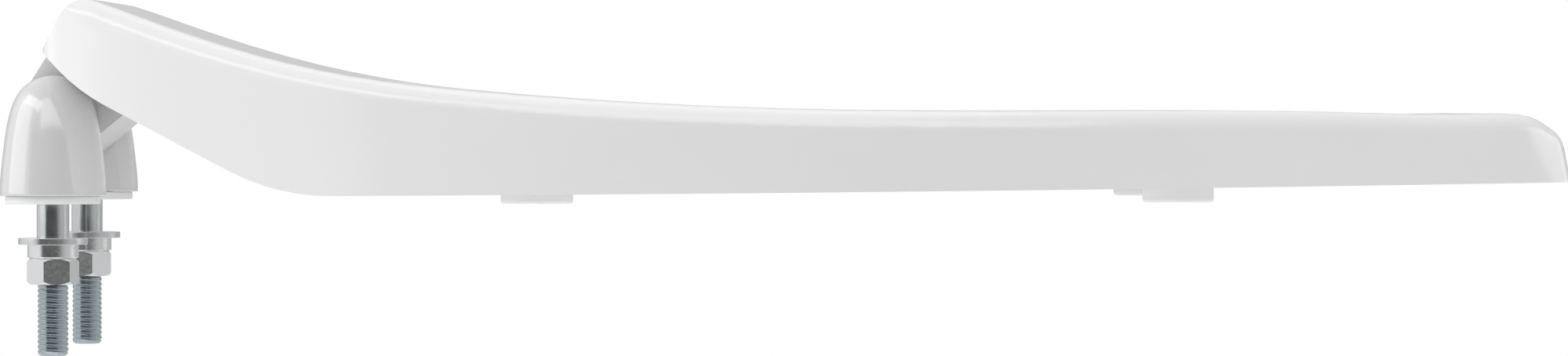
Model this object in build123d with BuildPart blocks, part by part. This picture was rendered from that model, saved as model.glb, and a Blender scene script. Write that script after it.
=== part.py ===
from build123d import *
import math
import os

# Open-front toilet seat: a contoured horseshoe ring that tilts on two bell-shaped posts.
# Origin: midway between the two stud axes, on the deck that the posts stand on.
# +X runs to the seat's front, +Y to its left, +Z up. Millimetres.

# Hinge line and posts
stud_spacing = 139.7
pivot_height = 27.0
knuckle_radius = 13.2
post_foot_radius = 16.7
post_middle_radius = 16.0
post_middle_height = 12.5
post_waist_radius = 14.3
post_waist_height = 24.9
post_inner_face = 11.85
dome_start = 30.0
ring_radius = 14.9
ring_thickness = 2.5
ring_edge_radius = 0.5

# Rod, bushes, thrust washers and barrel
rod_radius = 4.0
rod_engagement = 16.0
rod_end_clearance = 0.2
rod_edge = 0.6
running_clearance = 0.05
seat_clearance = 0.02
bush_wall = 2.0
bush_length = 14.0
barrel_radius = 12.8
neck_front = (22.0, 28.6)
thrust_washer_thickness = 1.0
thrust_washer_radius = 9.5
axial_play = 0.2

# Stud, washer and nut
shank_radius = 5.1
thread_radius = 4.7625
thread_chamfer = 1.2
stud_length_below_deck = 47.5
stud_head_across_flats = 14.3
stud_head_height = 5.0
stud_head_floor = 8.0
deck_grip = 10.7
washer_radius = 10.85
washer_thickness = 2.0
nut_collar_radius = 8.0
nut_collar_height = 4.4
nut_hex_height = 8.1
nut_across_flats = 14.29
nut_corner_chamfer = 1.0
nut_turns = {"left": 46.0, "right": 13.5}
hole_clearance = 0.15
insert_clearance = 0.05
nut_clearance = 0.04

# Seat seen from above
rear_straight_half = 85.5
rear_corner_radius = 14.0
rear_corner_turn = 56.0
seat_half_width = 178.5
widest_x = 225.0
seat_front = 476.0
front_corner_start = (471.8, 75.5)
front_corner_heading = -45.0
front_corner_radius = 9.0
front_corner_turn = 39.0
gap_half_width = 40.0
tip_radius = 16.0
throat_radius = 45.0
throat_turn = 28.0
throat_x = 425.0
opening_half_width = 111.0
opening_rear_x = 95.0

# Seat seen from the side
rear_low = (-2.1, 47.6)
ramp_head = (10.5, 35.0)
ramp_foot = (73.6, 3.1)
front_low_height = 6.8
rear_lean = 0.58
rear_low_radius = 2.5
ramp_head_radius = 60.0
ramp_foot_radius = 70.0
crown_rear = (0.0, 69.3)
crown_front = (482.0, 16.0)
wall = 3.0
mouth_drop = 5.0
weld_gap = 0.1
edge_radius = 6.0

# Bumpers
bumper_radius = 11.0
bumper_bottom = 0.9
bumper_edge_radius = 1.0
stem_radius = 3.0
stem_clearance = 0.1
barb_radius = 4.5
barb_height = 3.0
barb_clearance = 0.2
barb_taper = 20.0
bumper_rear = (153.0, 145.0)
bumper_front = (350.0, 103.0)

os.makedirs("parts", exist_ok=True)

# Places worked out from the sizes above
stud_y = stud_spacing / 2
post_face_y = stud_y - post_inner_face
barrel_half = post_face_y - thrust_washer_thickness - axial_play
rod_half = post_face_y + rod_engagement
bush_bore = rod_radius + running_clearance
bush_radius = bush_bore + bush_wall
washer_top = -deck_grip
washer_bottom = washer_top - washer_thickness
collar_bottom = washer_bottom - nut_collar_height
nut_bottom = collar_bottom - nut_hex_height
shank_bottom = washer_top - washer_thickness / 2
front_low = (seat_front, front_low_height)
front_above = (seat_front, crown_rear[1])
rear_above = (rear_low[0] + rear_lean * (crown_rear[1] - rear_low[1]), crown_rear[1])
tip_heading = front_corner_heading - front_corner_turn
tip_start_y = gap_half_width + tip_radius * (1 + math.cos(math.radians(tip_heading)))
flank_points = (
    (37.0, 118.3),
    (110.0, 157.0),
    (widest_x, seat_half_width),
    (345.0, 154.0),
    (420.0, 113.5),
)
opening_points = ((335.0, 84.0), (230.0, opening_half_width), (150.0, 90.0))
crown_points = (
    crown_rear,
    (35.4, 56.0),
    (65.9, 46.4),
    (97.0, 39.6),
    (144.4, 34.3),
    (200.0, 30.8),
    (256.0, 29.3),
    (330.0, 29.2),
    (400.0, 28.7),
    (440.0, 28.1),
    (464.0, 26.6),
    crown_front,
)
crown_ends = ((1, -0.385), (1, -0.8))
underside_slope = (front_low[1] - ramp_foot[1]) / (front_low[0] - ramp_foot[0])
above_all = crown_rear[1] + wall
beyond_all = seat_half_width + wall
sides = {"left": 1, "right": -1}
spline_steps = 24


def underside_at(x):
    """Height of the seat's level underside at x."""
    return ramp_foot[1] + underside_slope * (x - ramp_foot[0])


def save(part, name):
    """Label a finished piece and write its STEP file."""
    part.label = name
    export_step(part, f"parts/{name}.step")


def beside(curve, distance):
    """The curve, drawn again at a distance to its right."""

    def shifted(share):
        return curve @ share + (curve % share).rotate(Axis.Z, -90) * distance

    if not distance:
        add(curve)
        return curve
    if curve.geom_type == GeomType.LINE:
        return Line(shifted(0), shifted(1))
    if curve.geom_type == GeomType.CIRCLE:
        return ThreePointArc(shifted(0), shifted(0.5), shifted(1))
    steps = range(spline_steps + 1)
    return Spline([shifted(step / spline_steps) for step in steps], tangents=(curve % 0, curve % 1))


def side_profile(inset=0.0):
    """The seat from the side: raised rear end with a ramp beneath it, long level run, rounded front."""
    with BuildSketch() as side:
        with BuildLine():
            Polyline(front_low, ramp_foot, ramp_head, rear_low, rear_above, front_above, front_low)
        make_face()
        for corner, radius in (
            (rear_low, rear_low_radius),
            (ramp_head, ramp_head_radius),
            (ramp_foot, ramp_foot_radius),
        ):
            fillet(side.vertices().sort_by_distance(corner)[0], radius)
        if inset:
            offset(amount=-inset)
        with BuildLine():
            crown = beside(Spline(crown_points, tangents=crown_ends, mode=Mode.PRIVATE), inset)
            Polyline(crown @ 1, (front_above[0] + wall, 0), (rear_low[0] - wall, 0), crown @ 0)
        make_face(mode=Mode.INTERSECT)
    return side.sketch_local


def ring_plan(inset=0.0):
    """The seat from above: a horseshoe with a straight rear edge and two rounded tips."""
    with BuildLine(mode=Mode.PRIVATE) as half:
        rear = Line((rear_low[0], 0), (rear_low[0], rear_straight_half))
        corner = JernArc(rear @ 1, rear % 1, rear_corner_radius, -rear_corner_turn)
        front_heading = Vector(1, 0).rotate(Axis.Z, front_corner_heading)
        outer = Spline(corner @ 1, *flank_points, front_corner_start, tangents=(corner % 1, front_heading))
        front_corner = JernArc(outer @ 1, outer % 1, front_corner_radius, -front_corner_turn)
        front_run = ((front_corner @ 1).Y - tip_start_y) / -(front_corner % 1).Y
        front = Line(front_corner @ 1, front_corner @ 1 + front_corner % 1 * front_run)
        tip = JernArc(front @ 1, front % 1, tip_radius, -180 - tip_heading)
        gap = Line(tip @ 1, (throat_x, gap_half_width))
        throat = JernArc(gap @ 1, gap % 1, throat_radius, -throat_turn)
        Spline(throat @ 1, *opening_points, (opening_rear_x, 0), tangents=(throat % 1, (0, -1)))
    with BuildSketch() as plan:
        with BuildLine():
            for edge in half.edges():
                beside(edge, inset)
            mirror(about=Plane.XZ)
        make_face()
    return plan.sketch


def ring_block(profile, plan):
    """The solid that has this outline from the side and this one from above."""
    with BuildPart() as block:
        with BuildSketch():
            add(plan)
        extrude(amount=above_all)
        with BuildSketch(Plane.XZ.offset(-beyond_all)):
            add(profile)
        extrude(amount=2 * beyond_all, mode=Mode.INTERSECT)
    return block.part


def at_post(side, height):
    """Level plane centred on one stud's axis."""
    return Plane((0, side * stud_y, height))


def on_hinge_line(y, side):
    """Plane across the hinge line at y, facing outwards on that side."""
    return Plane((0, y, pivot_height), x_dir=(1, 0, 0), z_dir=(0, side, 0))


# Outlines: the whole seat, its hollow, the hollow with its mouth, and the plate in the mouth
profile = side_profile()
envelope = ring_block(profile, ring_plan())
hollow_profile = side_profile(wall)
with BuildSketch() as opened_profile:
    add(hollow_profile)
    with Locations((0, -mouth_drop)):
        add(hollow_profile)
with BuildSketch() as floor_profile:
    add(opened_profile.sketch)
    add(hollow_profile, mode=Mode.SUBTRACT)
    add(profile, mode=Mode.INTERSECT)

# Shell: crown and walls, open below
with BuildPart() as seat_shell:
    add(envelope)
    crown = seat_shell.faces().filter_by(lambda face: face.normal_at().Z > 0.5).sort_by(SortBy.AREA)[-1]
    fillet(crown.edges(), edge_radius)
    add(ring_block(opened_profile.sketch, ring_plan(wall)), mode=Mode.SUBTRACT)
save(seat_shell.part, "seat_shell")

# Plate that closes the shell from below, with a hole for each bumper's stem
bumper_places = {
    f"bumper_{end}_{hand}": (x, side * y)
    for end, (x, y) in {"rear": bumper_rear, "front": bumper_front}.items()
    for hand, side in sides.items()
}
with BuildPart() as seat_base:
    add(ring_block(floor_profile.sketch, ring_plan(wall + weld_gap)))
    with BuildSketch():
        with Locations(*bumper_places.values()):
            Circle(stem_radius + stem_clearance)
    extrude(amount=above_all, mode=Mode.SUBTRACT)
save(seat_base.part, "seat_base")

# Barrel along the hinge line, its neck running up to the seat's underside
with BuildPart() as hinge_barrel:
    with BuildSketch(Plane.XZ.offset(-barrel_half)) as section:
        with Locations((0, pivot_height)):
            Circle(barrel_radius)
        with BuildLine():
            Polyline(rear_low, ramp_head, neck_front)
        make_hull()
        add(profile, mode=Mode.SUBTRACT)
        with Locations((0, pivot_height)):
            Circle(bush_radius + seat_clearance, mode=Mode.SUBTRACT)
    extrude(amount=2 * barrel_half)
save(hinge_barrel.part, "hinge_barrel")

# Steel rod through the barrel, its ends in the posts
with BuildPart() as hinge_rod:
    with BuildSketch(on_hinge_line(-rod_half, 1)):
        Circle(rod_radius)
    extrude(amount=2 * rod_half)
    chamfer(hinge_rod.edges(), rod_edge)
save(hinge_rod.part, "hinge_rod")

for hand, side in sides.items():
    # Bush flush with the barrel's end
    with BuildPart() as bush:
        with BuildSketch(on_hinge_line(side * barrel_half, -side)):
            Circle(bush_radius)
            Circle(bush_bore, mode=Mode.SUBTRACT)
        extrude(amount=bush_length)
    save(bush.part, f"hinge_bush_{hand}")

    # Thrust washer against the post
    with BuildPart() as thrust_washer:
        with BuildSketch(on_hinge_line(side * post_face_y, -side)):
            Circle(thrust_washer_radius)
            Circle(bush_bore, mode=Mode.SUBTRACT)
        extrude(amount=thrust_washer_thickness)
    save(thrust_washer.part, f"thrust_washer_{hand}")

    # Bell-shaped post: a turned bell cut flat where it faces the barrel, and a round knuckle
    stud_axis = Axis((0, side * stud_y, 0), (0, 0, 1))
    with BuildPart() as post:
        with BuildSketch(Plane.XZ.offset(-side * stud_y)):
            with BuildLine():
                dome = CenterArc((0, pivot_height), knuckle_radius, 90, dome_start - 90)
                bell = Spline(
                    dome @ 1,
                    (post_waist_radius, post_waist_height),
                    (post_middle_radius, post_middle_height),
                    (post_foot_radius, ring_thickness),
                    tangents=(dome % 1, (0, -1)),
                )
                Polyline(bell @ 1, (0, ring_thickness), dome @ 0)
            make_face()
        revolve(axis=stud_axis)
        split(bisect_by=on_hinge_line(side * post_face_y, side), keep=Keep.TOP)
        with BuildSketch(on_hinge_line(side * post_face_y, side)):
            Circle(knuckle_radius)
        extrude(amount=post_inner_face)
        with BuildSketch(on_hinge_line(side * post_face_y, side)):
            Circle(rod_radius + seat_clearance)
        extrude(amount=rod_engagement + rod_end_clearance, mode=Mode.SUBTRACT)
        with BuildSketch(at_post(side, stud_head_floor)):
            RegularPolygon(stud_head_across_flats / 2 + insert_clearance, 6, major_radius=False)
        extrude(amount=stud_head_height + insert_clearance, mode=Mode.SUBTRACT)
        with BuildSketch(at_post(side, ring_thickness)):
            Circle(shank_radius + insert_clearance)
        extrude(amount=stud_head_floor - ring_thickness, mode=Mode.SUBTRACT)
    save(post.part, f"hinge_post_{hand}")

    # Ring between post and deck
    with BuildPart() as base_ring:
        with BuildSketch(at_post(side, 0)):
            Circle(ring_radius)
            Circle(shank_radius + hole_clearance, mode=Mode.SUBTRACT)
        extrude(amount=ring_thickness)
        fillet(base_ring.edges().group_by(Axis.Z)[0].sort_by(SortBy.LENGTH)[-1], ring_edge_radius)
    save(base_ring.part, f"base_ring_{hand}")

    # Stud: head held in the post, plain shank through the deck, threaded end
    with BuildPart() as stud:
        with BuildSketch(at_post(side, stud_head_floor)):
            RegularPolygon(stud_head_across_flats / 2, 6, major_radius=False)
        extrude(amount=stud_head_height)
        with BuildSketch(at_post(side, shank_bottom)):
            Circle(shank_radius)
        extrude(amount=stud_head_floor - shank_bottom)
        with BuildSketch(at_post(side, -stud_length_below_deck)):
            Circle(thread_radius)
        extrude(amount=stud_length_below_deck + shank_bottom)
        chamfer(stud.faces().sort_by(Axis.Z)[0].edges(), thread_chamfer)
    save(stud.part, f"stud_{hand}")

    # Flat washer under the deck
    with BuildPart() as washer:
        with BuildSketch(at_post(side, washer_bottom)):
            Circle(washer_radius)
            Circle(shank_radius + hole_clearance, mode=Mode.SUBTRACT)
        extrude(amount=washer_thickness)
    save(washer.part, f"washer_{hand}")

    # Nut: round collar above a hexagon with turned corners
    with BuildPart() as nut:
        with BuildSketch(at_post(side, nut_bottom)):
            RegularPolygon(nut_across_flats / 2, 6, major_radius=False, rotation=nut_turns[hand])
        extrude(amount=nut_hex_height)
        nut_corner = nut_across_flats / 2 / math.cos(math.radians(30))
        with BuildSketch(Plane.XZ.offset(-side * stud_y)):
            with BuildLine():
                Polyline(
                    (0, nut_bottom),
                    (nut_across_flats / 2, nut_bottom),
                    (nut_corner, nut_bottom + nut_corner_chamfer),
                    (nut_corner, collar_bottom - nut_corner_chamfer),
                    (nut_across_flats / 2, collar_bottom),
                    (0, collar_bottom),
                    close=True,
                )
            make_face()
        revolve(axis=stud_axis, mode=Mode.INTERSECT)
        with BuildSketch(at_post(side, collar_bottom)):
            Circle(nut_collar_radius)
        extrude(amount=nut_collar_height)
        with BuildSketch(at_post(side, nut_bottom)):
            Circle(thread_radius + nut_clearance)
        extrude(amount=nut_hex_height + nut_collar_height, mode=Mode.SUBTRACT)
    save(nut.part, f"nut_{hand}")

# Bumpers: a pad cut to the seat's underside, a stem through the plate and a barb above it
for name, (x, y) in bumper_places.items():
    plate_top = underside_at(x) + wall
    pad_middle = (bumper_bottom + underside_at(x)) / 2
    with BuildPart() as bumper:
        with BuildSketch(Plane((x, y, bumper_bottom))):
            Circle(bumper_radius)
        extrude(amount=plate_top - bumper_bottom)
        add(envelope, mode=Mode.SUBTRACT)
        fillet(bumper.faces().sort_by(Axis.Z)[0].edges(), bumper_edge_radius)
        with BuildSketch(Plane((x, y, pad_middle))):
            Circle(stem_radius)
        extrude(amount=plate_top + barb_clearance - pad_middle)
        with BuildSketch(Plane((x, y, plate_top + barb_clearance))):
            Circle(barb_radius)
        extrude(amount=barb_height, taper=barb_taper)
    save(bumper.part, name)
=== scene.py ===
# %% [markdown]
# # An open-front toilet seat on bell-shaped posts
#
# The real object is a white moulded seat that tilts on a rod between two plastic posts. Steel studs
# run down from the posts through the bowl, and a washer and a nut under each one clamp it. The solid
# model already holds every size and every place, so this script dresses it: it lights it, gives each
# surface its finish, and cuts the real threads. Sizes of the part are written in millimetres, which mm
# turns to metres, and the room round it is in metres.

# %% Load the solid model
import math

import bmesh
import bpy
from mathutils import Matrix, Vector


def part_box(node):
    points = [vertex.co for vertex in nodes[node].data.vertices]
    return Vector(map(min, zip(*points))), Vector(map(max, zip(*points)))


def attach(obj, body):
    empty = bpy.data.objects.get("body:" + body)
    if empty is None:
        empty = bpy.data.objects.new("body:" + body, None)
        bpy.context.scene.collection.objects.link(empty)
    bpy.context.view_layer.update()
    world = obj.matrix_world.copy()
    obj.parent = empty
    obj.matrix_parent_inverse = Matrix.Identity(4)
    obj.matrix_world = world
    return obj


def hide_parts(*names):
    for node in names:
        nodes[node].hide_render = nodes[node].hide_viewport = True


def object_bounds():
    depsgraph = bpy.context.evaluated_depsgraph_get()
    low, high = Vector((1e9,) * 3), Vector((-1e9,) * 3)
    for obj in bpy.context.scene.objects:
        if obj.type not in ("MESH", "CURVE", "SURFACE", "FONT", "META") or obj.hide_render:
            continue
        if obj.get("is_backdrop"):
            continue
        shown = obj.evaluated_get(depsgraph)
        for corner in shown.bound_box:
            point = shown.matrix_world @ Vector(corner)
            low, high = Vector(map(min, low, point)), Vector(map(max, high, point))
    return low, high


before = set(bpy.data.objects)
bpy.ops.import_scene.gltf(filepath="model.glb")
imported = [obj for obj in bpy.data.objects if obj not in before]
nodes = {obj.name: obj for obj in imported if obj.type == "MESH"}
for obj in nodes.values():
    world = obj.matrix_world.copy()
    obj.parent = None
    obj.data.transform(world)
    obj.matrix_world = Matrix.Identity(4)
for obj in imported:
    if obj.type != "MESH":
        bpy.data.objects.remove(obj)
cad_low, cad_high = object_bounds()
mm = 0.001
tolerance = 0.01
sides = ("left", "right")
print("nodes:", len(nodes), "box:", tuple(cad_low), tuple(cad_high))

# %% [markdown]
# ## Camera
#
# A long lens far from the object keeps near and far hardware almost the same size. The camera stands
# only a little higher than the seat's front and looks a little down, so that the seat's top is seen as
# a thin strip.

# %% Place the camera
eye = Vector((215.0, -2750.0, 30.6)) * mm
target = Vector((228.8, 0.0, 7.5)) * mm
camera = bpy.data.objects.new("camera", bpy.data.cameras.new("camera"))
bpy.context.scene.collection.objects.link(camera)
camera.data.lens = 196.83
camera.data.sensor_width = 36.0
camera.data.sensor_fit = "HORIZONTAL"
camera.location = eye
camera.rotation_euler = (target - eye).to_track_quat("-Z", "Y").to_euler()
bpy.context.scene.camera = camera
print("camera to seat:", round((target - eye).length, 3), "m")

# %% [markdown]
# ## Colours and nodes
#
# Paint charts give colours as sRGB hex, and the renderer wants linear light, so one function turns
# them. A second one adds a node, sets it and links it.


# %% Helpers for materials
def linear(code):
    """An sRGB hex colour such as #F4F4F2 as linear red, green, blue and alpha."""
    channels = [int(code[i : i + 2], 16) / 255 for i in (1, 3, 5)]
    return tuple(c / 12.92 if c <= 0.04045 else ((c + 0.055) / 1.055) ** 2.4 for c in channels) + (1.0,)


def node(tree, kind, settings=None, values=None, links=None):
    """Add a node of this kind, set its properties and sockets, and link its inputs."""
    new = tree.nodes.new(kind)
    for key, value in (settings or {}).items():
        setattr(new, key, value)
    for key, value in (values or {}).items():
        new.inputs[key].default_value = value
    for key, source in (links or {}).items():
        tree.links.new(source, new.inputs[key])
    return new


def new_material(name):
    """A material with nothing in it but a shader and its output."""
    material = bpy.data.materials.new(name)
    material.use_nodes = True
    tree = material.node_tree
    tree.nodes.clear()
    shader = node(tree, "ShaderNodeBsdfPrincipled")
    node(tree, "ShaderNodeOutputMaterial", links={"Surface": shader.outputs["BSDF"]})
    return material, tree, shader


def dress(name, material):
    """Give a solid's own object this one material."""
    piece = nodes[name]
    piece.data.materials.clear()
    piece.data.materials.append(material)


print("middle grey in linear light:", round(linear("#808080")[0], 3))

# %% [markdown]
# ## Moulded white plastic and rubber
#
# The seat and the posts are injection-moulded polypropylene with white pigment. The mould is polished,
# so the skin is glossy, but the melt shrinks a little as it cools and leaves a very long, shallow
# waviness that bends reflections. A faint change of tone comes with it. A coat over a softer base
# gives the skin its clear mirror image, and the posts, which are small and cool fast, shine most. The
# posts and the hinge barrel are coloured greyer than the seat: that grey is painted shade, for the shade
# under the seat. The rings, bushes and thrust washers are polyethylene, which is duller, and the bumpers
# are white rubber, coloured near pure white as painted light where the seat keeps the light off them.
# Neither of those two has a skin.


# %% Moulded white plastic
polypropylene_ior = 1.49
skin_roughness = 0.08


def moulded_white(name, colour, shade, roughness, skin, skin_ior, ripple_mm, ripple_height_mm):
    """White plastic or rubber whose surface ripples over ripple_mm, by ripple_height_mm."""
    material, tree, shader = new_material(name)
    place = node(tree, "ShaderNodeTexCoord")
    ripple = node(
        tree,
        "ShaderNodeTexNoise",
        values={"Scale": 1 / (ripple_mm * mm), "Detail": 2.0, "Roughness": 0.4},
        links={"Vector": place.outputs["Object"]},
    )
    tone = node(
        tree,
        "ShaderNodeMix",
        settings={"data_type": "RGBA"},
        links={"Factor": ripple.outputs["Fac"]},
    )
    tone.inputs["A"].default_value = linear(colour)
    tone.inputs["B"].default_value = linear(shade)
    colour_out = [s for s in tone.outputs if s.type == "RGBA"][0]
    bump = node(
        tree,
        "ShaderNodeBump",
        values={"Strength": 1.0, "Distance": ripple_height_mm * mm},
        links={"Height": ripple.outputs["Fac"]},
    )
    tree.links.new(colour_out, shader.inputs["Base Color"])
    tree.links.new(bump.outputs["Normal"], shader.inputs["Normal"])
    shader.inputs["Roughness"].default_value = roughness
    shader.inputs["IOR"].default_value = polypropylene_ior
    shader.inputs["Coat Weight"].default_value = skin
    shader.inputs["Coat Roughness"].default_value = skin_roughness
    shader.inputs["Coat IOR"].default_value = skin_ior
    return material



# %% [markdown]
# The five finishes differ in how light they are, how strong their skin is and how long their ripples
# are. The posts' and the barrel's darker greys are painted shade, and the bumpers' near white is painted
# light. The rubber's ripple stands for its fine grain, drawn coarser than it is so that it shows.

# %% The five white finishes
seat_plastic = moulded_white(
    "moulded polypropylene seat",
    "#EDEDED",
    "#EAEAEA",
    roughness=0.25,
    skin=0.6,
    skin_ior=1.5,
    ripple_mm=45.0,
    ripple_height_mm=0.02,
)
# The posts' darker grey is painted shade. It stands for the shade that the seat's rear casts on them.
post_plastic_with_painted_shade = moulded_white(
    "moulded polypropylene post with painted shade",
    "#D4D4D4",
    "#D1D1D1",
    roughness=0.2,
    skin=1.0,
    skin_ior=1.8,
    ripple_mm=12.0,
    ripple_height_mm=0.01,
)
# The barrel's grey is darker than the seat's. It is painted shade for the shade under the seat.
barrel_plastic_with_painted_shade = moulded_white(
    "moulded polypropylene barrel with painted shade",
    "#E4E4E4",
    "#E1E1E1",
    roughness=0.25,
    skin=0.6,
    skin_ior=1.5,
    ripple_mm=20.0,
    ripple_height_mm=0.01,
)
fitting_plastic = moulded_white(
    "moulded polyethylene fitting",
    "#F2F3F4",
    "#EEEFF0",
    roughness=0.4,
    skin=0.0,
    skin_ior=1.5,
    ripple_mm=6.0,
    ripple_height_mm=0.01,
)
# The bumpers' near pure white is painted light. It makes up for the light that the seat keeps off them.
bumper_rubber_with_painted_light = moulded_white(
    "moulded white rubber with painted light",
    "#FCFCFC",
    "#F6F6F6",
    roughness=0.5,
    skin=0.0,
    skin_ior=1.5,
    ripple_mm=1.2,
    ripple_height_mm=0.02,
)

for name in ("seat_shell", "seat_base"):
    dress(name, seat_plastic)
dress("hinge_barrel", barrel_plastic_with_painted_shade)
for hand in sides:
    dress(f"hinge_post_{hand}", post_plastic_with_painted_shade)
    for name in ("base_ring", "hinge_bush", "thrust_washer"):
        dress(f"{name}_{hand}", fitting_plastic)
    for name in ("bumper_rear", "bumper_front"):
        dress(f"{name}_{hand}", bumper_rubber_with_painted_light)
white_finishes = (seat_plastic, post_plastic_with_painted_shade, barrel_plastic_with_painted_shade, fitting_plastic, bumper_rubber_with_painted_light)
print("white finishes:", [material.name for material in white_finishes])

# %% [markdown]
# ## Zinc-plated steel
#
# The studs, washers and nuts are steel with a thin bright zinc coat. Barrel plating tumbles the parts
# against each other, so the coat is bright but uneven: small dull patches and scuffs a millimetre or
# less across, with a faint blue from the passivation. On the shank and the washers the scuffs are
# drawn out upright. The hinge's rod is only ground, so it is greyer.


# %% Zinc-plated steel
patch_height = 0.02
gloss_spread = (-0.08, 0.12)


def plated_steel(name, colour, dull, roughness, patch_mm, streak=1.0):
    """Bright plated steel with duller patches patch_mm across and streak times as tall."""
    material, tree, shader = new_material(name)
    place = node(tree, "ShaderNodeTexCoord")
    drawn_out = node(
        tree,
        "ShaderNodeMapping",
        values={"Scale": (1, 1, 1 / streak)},
        links={"Vector": place.outputs["Object"]},
    )
    patches = node(
        tree,
        "ShaderNodeTexNoise",
        values={"Scale": 1 / (patch_mm * mm), "Detail": 4.0, "Roughness": 0.6},
        links={"Vector": drawn_out.outputs["Vector"]},
    )
    tone = node(
        tree,
        "ShaderNodeMix",
        settings={"data_type": "RGBA"},
        links={"Factor": patches.outputs["Fac"]},
    )
    tone.inputs["A"].default_value = linear(colour)
    tone.inputs["B"].default_value = linear(dull)
    colour_out = [s for s in tone.outputs if s.type == "RGBA"][0]
    gloss = node(
        tree,
        "ShaderNodeMapRange",
        values={"To Min": roughness + gloss_spread[0], "To Max": roughness + gloss_spread[1]},
        links={"Value": patches.outputs["Fac"]},
    )
    bump = node(
        tree,
        "ShaderNodeBump",
        values={"Strength": 1.0, "Distance": patch_height * mm},
        links={"Height": patches.outputs["Fac"]},
    )
    tree.links.new(colour_out, shader.inputs["Base Color"])
    tree.links.new(gloss.outputs["Result"], shader.inputs["Roughness"])
    tree.links.new(bump.outputs["Normal"], shader.inputs["Normal"])
    shader.inputs["Metallic"].default_value = 1.0
    return material


shank_steel = plated_steel(
    "zinc plated steel shank", "#DCDFE1", "#C3C8CA", roughness=0.18, patch_mm=0.5, streak=8.0
)
thread_steel = plated_steel(
    "zinc plated steel thread", "#BCC7CC", "#9AA6AC", roughness=0.18, patch_mm=0.6
)
nut_steel = plated_steel(
    "zinc plated steel nut", "#F0F1F2", "#DDDFE0", roughness=0.2, patch_mm=0.9
)
washer_steel = plated_steel(
    "zinc plated steel washer", "#F0F1F2", "#B4B8BA", roughness=0.24, patch_mm=0.7, streak=6.0
)
ground_steel = plated_steel(
    "ground steel rod", "#B9BBBD", "#A7A9AB", roughness=0.25, patch_mm=0.5
)
dress("hinge_rod", ground_steel)
for hand in sides:
    dress(f"stud_{hand}", shank_steel)
    dress(f"washer_{hand}", washer_steel)
    dress(f"nut_{hand}", nut_steel)
steels = (shank_steel, thread_steel, nut_steel, washer_steel, ground_steel)
print("steels:", [material.name for material in steels])

# %% [markdown]
# ## Turned pieces
#
# Studs, nuts, washers and rings are all turned about their stud's axis. Each one starts as half of its
# section, drawn from its real sizes, which is spun round the axis. A small bevel on the sharp edges
# catches the light as a real edge does.


def middle_of(name):
    """The point on a solid's upright middle line at the height of the deck."""
    low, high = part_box(name)
    return Vector(((low.x + high.x) / 2, (low.y + high.y) / 2, 0.0))


def spun(section, middle, steps=96, rise=0.0):
    """A mesh of this section, (radius, height) in mm from the top down, spun round an upright line."""
    mesh = bmesh.new()
    points = [mesh.verts.new(middle + Vector((radius, 0.0, height)) * mm) for radius, height in section]
    edges = [mesh.edges.new(pair) for pair in zip(points, points[1:])]
    bmesh.ops.spin(
        mesh,
        geom=points + edges,
        cent=middle,
        axis=(0, 0, 1),
        dvec=(0, 0, rise * mm / steps),
        angle=math.tau,
        steps=steps,
    )
    bmesh.ops.remove_doubles(mesh, verts=mesh.verts, dist=0.001 * mm)
    return mesh


def add_piece(mesh, name, materials, body, replaced, edge=0.0, crease=35.0):
    """Turn a mesh into a piece in place of a solid, smooth up to the crease, edges rounded by edge mm."""
    bmesh.ops.recalc_face_normals(mesh, faces=mesh.faces)
    for face in mesh.faces:
        face.smooth = True
    for line in mesh.edges:
        line.smooth = line.calc_face_angle(math.pi) < math.radians(crease)
    data = bpy.data.meshes.new(name)
    mesh.to_mesh(data)
    mesh.free()
    for material in materials:
        data.materials.append(material)
    piece = bpy.data.objects.new(name, data)
    bpy.context.scene.collection.objects.link(piece)
    if edge:
        bevel = piece.modifiers.new("rounded edges", "BEVEL")
        bevel.width = edge * mm
        bevel.segments = 3
        bevel.limit_method = "ANGLE"
        bevel.angle_limit = math.radians(crease)
        bevel.harden_normals = True
    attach(piece, body)
    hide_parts(replaced)
    print(name, "faces:", len(data.polygons))


# %% [markdown]
# ## Seat shell
#
# The seat's top and walls keep the solid's shape, with two small changes. The front face leans back a
# little, as it has to for the mould to open, and the rear top edge is rounder. Both move the points of
# a merged copy of the solid, more or less by a smooth share, so no new face is needed.

# %% Seat shell
front_lean = 0.26
lean_start = 9.5
lean_reach = 18.0
rear_edge = Vector((8.5, 0.0, 65.9)) * mm
rear_edge_drop = Vector((0.42, 0.0, -1.2)) * mm
rear_edge_reach = 9.0


def merged_copy(name):
    """A mesh of a solid's own shape, its loose triangles joined."""
    mesh = bmesh.new()
    mesh.from_mesh(nodes[name].data)
    bmesh.ops.remove_doubles(mesh, verts=mesh.verts, dist=0.002 * mm)
    return mesh


def smooth_share(value):
    """0 below 0, 1 above 1, and a smooth rise between them."""
    value = min(max(value, 0.0), 1.0)
    return value * value * (3 - 2 * value)


shell = merged_copy("seat_shell")
for point in shell.verts:
    share = smooth_share((point.co.x - (cad_high.x - lean_reach * mm)) / (lean_reach * mm))
    point.co.x -= front_lean * max(0.0, point.co.z - lean_start * mm) * share
    from_edge = (point.co - rear_edge).xz.length / mm
    point.co += rear_edge_drop * smooth_share(1 - from_edge / rear_edge_reach)
add_piece(shell, "seat_top", [seat_plastic], "seat", "seat_shell", crease=30.0)

# %% [markdown]
# ## Posts
#
# A post's foot would show a knife edge where it meets its ring. The real one has a small round there,
# so the outer line of the foot is found by its height and its distance from the middle, and bevelled.

# %% Posts
foot_rounding = 0.5
foot_line_width = 0.2

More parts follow.
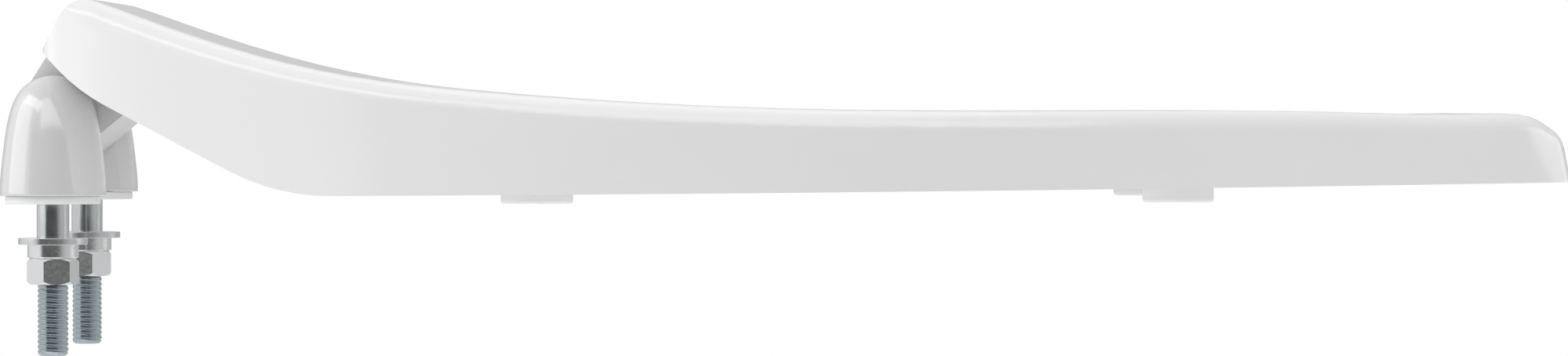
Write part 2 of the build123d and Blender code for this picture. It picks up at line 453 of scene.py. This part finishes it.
for hand in sides:
    post = merged_copy(f"hinge_post_{hand}")
    middle = middle_of(f"washer_{hand}")
    foot_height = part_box(f"base_ring_{hand}")[1].z
    post_low, post_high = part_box(f"hinge_post_{hand}")
    foot_radius = (post_high.x - post_low.x) / 2
    rim = [
        line
        for line in post.edges
        if all(
            abs(point.co.z - foot_height) < tolerance * mm
            and (point.co - middle).xy.length > foot_radius - foot_line_width * mm
            for point in line.verts
        )
    ]
    bmesh.ops.bevel(
        post,
        geom=rim,
        offset=foot_rounding * mm,
        segments=4,
        profile=0.5,
        affect="EDGES",
        material=-1,
    )
    add_piece(post, f"bell_post_{hand}", [post_plastic_with_painted_shade], "mounting", f"hinge_post_{hand}", crease=30.0)

# %% [markdown]
# ## Studs with a real thread
#
# A stud is 3/8 in-16: sixteen turns to the inch, so one pitch is 1.5875 mm. Its thread is rolled
# shallow, with broad crests and narrow grooves between them. The section of one pitch repeats down the
# stud, and the spin drops by one pitch a turn, so that each turn joins the next one as a true helix. The
# thread is then cut square at both ends, and the free end is rounded off.

# %% Thread
inch = 25.4
pitch = inch / 16
thread_radius = inch * 3 / 16
thread_depth = 0.27
crest_width = 0.48 * pitch
flank_width = 0.2 * pitch
thread_steps = 72
end_rounding = 1.2


def threaded_bar(middle, top, bottom, outside):
    """A mesh of a threaded bar between two heights in mm, with a rounded lower end."""
    turns = math.ceil((top - bottom) / pitch) + 2
    section = []
    for turn in range(turns):
        start = top + pitch - turn * pitch
        section.append((outside, start))
        section.append((outside, start - crest_width))
        section.append((outside - thread_depth, start - crest_width - flank_width))
        section.append((outside - thread_depth, start - pitch + flank_width))
    mesh = spun(section, middle, thread_steps, rise=-pitch)
    for height, keep_below in ((top, True), (bottom, False)):
        bmesh.ops.bisect_plane(
            mesh,
            geom=mesh.verts[:] + mesh.edges[:] + mesh.faces[:],
            plane_co=(0, 0, height * mm),
            plane_no=(0, 0, 1),
            clear_outer=keep_below,
            clear_inner=not keep_below,
        )
    for point in mesh.verts:
        arm = (point.co - middle).xy
        depth = max(0.0, 1 - (point.co.z / mm - bottom) / end_rounding)
        limit = (outside - end_rounding * (1 - math.sqrt(1 - depth**2))) * mm
        if arm.length > limit:
            arm *= limit / arm.length
            point.co.x = middle.x + arm.x
            point.co.y = middle.y + arm.y
    rims = [line for line in mesh.edges if line.is_boundary]
    bmesh.ops.edgeloop_fill(mesh, edges=rims)
    return mesh


print("pitch:", round(pitch, 4), "mm, crest:", round(crest_width, 3), "mm")

# %% [markdown]
# The shank above the thread is plain and a little thicker, and the stud's hexagonal head is held inside
# the post. Thread, shank and head are three closed shapes in one mesh: the thread meets the shank
# inside the washer, and the head stands round the shank's top.

# %% Studs
shank_radius = 5.1
head_height = 5.0

for hand in sides:
    low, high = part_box(f"stud_{hand}")
    middle = middle_of(f"washer_{hand}")
    washer_low, washer_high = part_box(f"washer_{hand}")
    shank_end = (washer_low.z + washer_high.z) / 2 / mm
    head_top = high.z / mm
    stud = threaded_bar(middle, shank_end, low.z / mm, thread_radius)
    shank_section = ((0.0, head_top), (shank_radius, head_top), (shank_radius, shank_end), (0.0, shank_end))
    shank = spun(shank_section, middle)
    head = bmesh.new()
    head_radius = (high.x - low.x) / 2
    bmesh.ops.create_cone(
        head,
        cap_ends=True,
        segments=6,
        radius1=head_radius,
        radius2=head_radius,
        depth=head_height * mm,
        matrix=Matrix.Translation(middle + Vector((0, 0, high.z - head_height * mm / 2))),
    )
    for part in (shank, head):
        for face in part.faces:
            face.material_index = 1
        scratch = bpy.data.meshes.new("scratch")
        part.to_mesh(scratch)
        part.free()
        stud.from_mesh(scratch)
        bpy.data.meshes.remove(scratch)
    finishes = [thread_steel, shank_steel]
    add_piece(stud, f"threaded_stud_{hand}", finishes, "mounting", f"stud_{hand}", crease=25.0)

# %% [markdown]
# ## Washers, nuts and base rings
#
# A nut here is a round collar above a hexagon whose corners are turned off. The hexagon is spun as a
# circle through its corners, and each point is then drawn in to the flat that it belongs to. The turned
# corner is a cone, so the nearer a point lies to a corner, the more of the face the cone takes away.

# %% Nut
across_flats = 14.29
flat_radius = across_flats / 2
corner_radius = flat_radius / math.cos(math.radians(30))
corner_chamfer = 1.0
collar_radius = 8.0
collar_height = 4.4
collar_chamfer = 0.5
collar_seat = 0.05
nut_bore = 4.9
bore_chamfer = 0.4


def nut(middle, top, bottom, turn):
    """A mesh of a nut with a collar, its hexagon's first corner turned from +X by turn degrees."""
    hex_top = top - collar_height
    section = (
        (nut_bore, top),
        (collar_radius, top),
        (collar_radius, hex_top + collar_chamfer),
        (flat_radius + collar_seat, hex_top),
        (flat_radius, hex_top),
        (corner_radius, hex_top - corner_chamfer),
        (corner_radius, bottom + corner_chamfer),
        (flat_radius, bottom),
        (nut_bore + bore_chamfer, bottom),
        (nut_bore, bottom + bore_chamfer),
        (nut_bore, top),
    )
    mesh = spun(section, middle)
    for point in mesh.verts:
        arm = (point.co - middle).xy
        height = point.co.z / mm
        if arm.length / mm < flat_radius + tolerance or height > hex_top - tolerance:
            continue
        past_flat = (math.degrees(math.atan2(arm.y, arm.x)) + 360) % 60 - 30
        reach = flat_radius / math.cos(math.radians(past_flat))
        turned_off = corner_chamfer * (reach - flat_radius) / (corner_radius - flat_radius)
        arm *= reach * mm / arm.length
        lower = height < (hex_top + bottom) / 2
        height = bottom + turned_off if lower else hex_top - turned_off
        point.co = middle + Vector((arm.x, arm.y, height * mm))
    bmesh.ops.rotate(mesh, verts=mesh.verts, cent=middle, matrix=Matrix.Rotation(math.radians(turn), 3, "Z"))
    return mesh


print("nut across corners:", round(2 * corner_radius, 2), "mm")

# %% [markdown]
# Each nut stopped at its own angle when it was tightened. The washers and the rings under the posts are
# flat rings that take their outer size and their height from the solids.

# %% Washers, nuts and base rings
hole_radius = 5.25
nut_turns = {"left": 46.0, "right": 13.5}


def ring(name, inside):
    """A mesh of a flat ring that fills a round solid's box, with a hole."""
    low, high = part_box(name)
    outside = (high.x - low.x) / 2 / mm
    top = high.z / mm
    bottom = low.z / mm
    section = ((inside, top), (outside, top), (outside, bottom), (inside, bottom), (inside, top))
    return spun(section, middle_of(name))


for hand in sides:
    nut_low, nut_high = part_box(f"nut_{hand}")
    middle = middle_of(f"washer_{hand}")
    hexagon = nut(middle, nut_high.z / mm, nut_low.z / mm, nut_turns[hand])
    add_piece(hexagon, f"collar_nut_{hand}", [nut_steel], "mounting", f"nut_{hand}", edge=0.2)
    plate = ring(f"washer_{hand}", hole_radius)
    add_piece(plate, f"flat_washer_{hand}", [washer_steel], "mounting", f"washer_{hand}", edge=0.15)
    foot = ring(f"base_ring_{hand}", hole_radius)
    add_piece(foot, f"post_ring_{hand}", [fitting_plastic], "mounting", f"base_ring_{hand}", edge=0.4)

# %% [markdown]
# ## Studio walls
#
# White plastic mirrors its room as broad bands, so here the room itself does most of the work. It is
# the world's light, toned by direction: the walls are light grey, the left one is brighter, and a dark
# flag hangs low behind the camera, so that the upright steel shows a dark middle between two bright
# sides. To the camera the room is white.

# %% World
wall_light = 0.52
ceiling_light = 0.8
left_wall_light = 0.3
flag_light = 0.12
world = bpy.data.worlds.new("studio")
bpy.context.scene.world = world
world.use_nodes = True
tree = world.node_tree
tree.nodes.clear()
toward = node(tree, "ShaderNodeTexCoord")
axes = node(tree, "ShaderNodeSeparateXYZ", links={"Vector": toward.outputs["Generated"]})
tones = {}
for part, axis, start, stop, low, high in (
    ("right of the left wall", "X", -0.8, -0.72, 0.0, 1.0),
    ("left of the right wall", "X", 0.35, 1.0, 1.0, 0.0),
    ("towards the camera", "Y", -0.05, -0.3, 0.0, 1.0),
    ("low down", "Z", 0.45, 0.25, 0.0, 1.0),
    ("wall and ceiling", "Z", 0.1, 0.6, wall_light, ceiling_light),
    ("left wall", "X", -0.6, -0.8, 0.0, left_wall_light),
):
    tones[part] = node(
        tree,
        "ShaderNodeMapRange",
        settings={"interpolation_type": "SMOOTHSTEP"},
        values={"From Min": start, "From Max": stop, "To Min": low, "To Max": high},
        links={"Value": axes.outputs[axis]},
    ).outputs["Result"]
flag = tones["right of the left wall"]
for part in ("left of the right wall", "towards the camera", "low down"):
    flag = node(
        tree,
        "ShaderNodeMath",
        settings={"operation": "MULTIPLY"},
        links={0: flag, 1: tones[part]},
    ).outputs[0]
kept = node(
    tree,
    "ShaderNodeMapRange",
    values={"To Min": 1.0, "To Max": flag_light},
    links={"Value": flag},
)
walls = node(
    tree,
    "ShaderNodeMath",
    settings={"operation": "ADD"},
    links={0: tones["wall and ceiling"], 1: tones["left wall"]},
)
glow = node(
    tree,
    "ShaderNodeMath",
    settings={"operation": "MULTIPLY"},
    links={0: kept.outputs["Result"], 1: walls.outputs[0]},
)
lighting = node(
    tree,
    "ShaderNodeBackground",
    values={"Color": (1, 1, 1, 1)},
    links={"Strength": glow.outputs[0]},
)
seen = node(tree, "ShaderNodeBackground", values={"Color": (1, 1, 1, 1), "Strength": 1.0})
ray = node(tree, "ShaderNodeLightPath")
either = node(
    tree,
    "ShaderNodeMath",
    settings={"operation": "MAXIMUM"},
    links={0: ray.outputs["Is Camera Ray"], 1: ray.outputs["Is Transmission Ray"]},
)
mixed = node(
    tree,
    "ShaderNodeMixShader",
    links={0: either.outputs[0], 1: lighting.outputs[0], 2: seen.outputs[0]},
)
node(tree, "ShaderNodeOutputWorld", links={"Surface": mixed.outputs[0]})
print("world nodes:", len(tree.nodes))

# %% [markdown]
# ## Floor
#
# The floor is a plain disc in matt white paint. It lies well under the studs, so that it takes only a
# soft shadow.

# %% Floor
floor_drop = 0.12
floor_radius = 0.9
floor_middle = (0.2, 0.0, cad_low[2] - floor_drop)
floor_mesh = bmesh.new()
bmesh.ops.create_circle(floor_mesh, cap_ends=True, segments=96, radius=floor_radius)
floor_data = bpy.data.meshes.new("floor")
floor_mesh.transform(Matrix.Translation(floor_middle))
floor_mesh.to_mesh(floor_data)
floor_mesh.free()
floor = bpy.data.objects.new("floor", floor_data)
bpy.context.scene.collection.objects.link(floor)
floor_paint, _, floor_shader = new_material("matt white paint")
floor_shader.inputs["Base Color"].default_value = linear("#F2F2F2")
floor_shader.inputs["Roughness"].default_value = 0.9
floor_data.materials.append(floor_paint)
floor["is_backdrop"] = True
print("floor height:", round(floor_middle[2], 4), "m")

# %% [markdown]
# ## Lamps
#
# The lamps add shape to what the room gives: a wide one in front, one overhead, a long one at the upper
# left for the posts' shoulders, a small one close to the rear end, one behind the front end, and a
# little light from below. All are large for their distance, so that every highlight is soft.


# %% Lamps
def soft_box(name, place, aim, width, height, watts):
    """A rectangular lamp at place that faces aim."""
    lamp = bpy.data.objects.new(name, bpy.data.lights.new(name, "AREA"))
    bpy.context.scene.collection.objects.link(lamp)
    lamp.data.shape = "RECTANGLE"
    lamp.data.size = width
    lamp.data.size_y = height
    lamp.data.energy = watts
    lamp.visible_camera = False
    lamp.location = place
    lamp.rotation_euler = (Vector(aim) - Vector(place)).to_track_quat("-Z", "Y").to_euler()


hinge_end = (0.0, -0.08, 0.03)
rear_rounding = (0.0, -0.09, 0.045)
seat_middle = (0.22, 0.0, 0.02)
seat_underside = (0.22, -0.15, 0.0)
front_end = (0.45, -0.05, 0.02)
soft_box("front fill", (0.3, -1.9, 1.5), seat_middle, width=3.0, height=1.5, watts=15.0)
soft_box("overhead", (0.2, 0.0, 1.4), seat_middle, width=2.0, height=0.8, watts=2.2)
soft_box("low bounce", (0.22, -0.2, -0.15), seat_underside, width=0.9, height=0.2, watts=0.1)
soft_box("upper left", (-1.05, -0.5, 1.01), hinge_end, width=1.5, height=0.4, watts=3.2)
soft_box("close left", (-0.14, -0.1, 0.06), rear_rounding, width=0.12, height=0.12, watts=0.045)
soft_box("right rear", (1.6, 0.35, 0.25), front_end, width=0.8, height=0.5, watts=1.5)
print("lamps:", [lamp.name for lamp in bpy.data.lights])

bpy.context.scene.view_settings.view_transform = "Standard"

# %% [markdown]
# ## Finish
#
# The box round the dressed model is found at the end. It should lie inside the box round the solids.

# %% Finish
low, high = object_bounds()
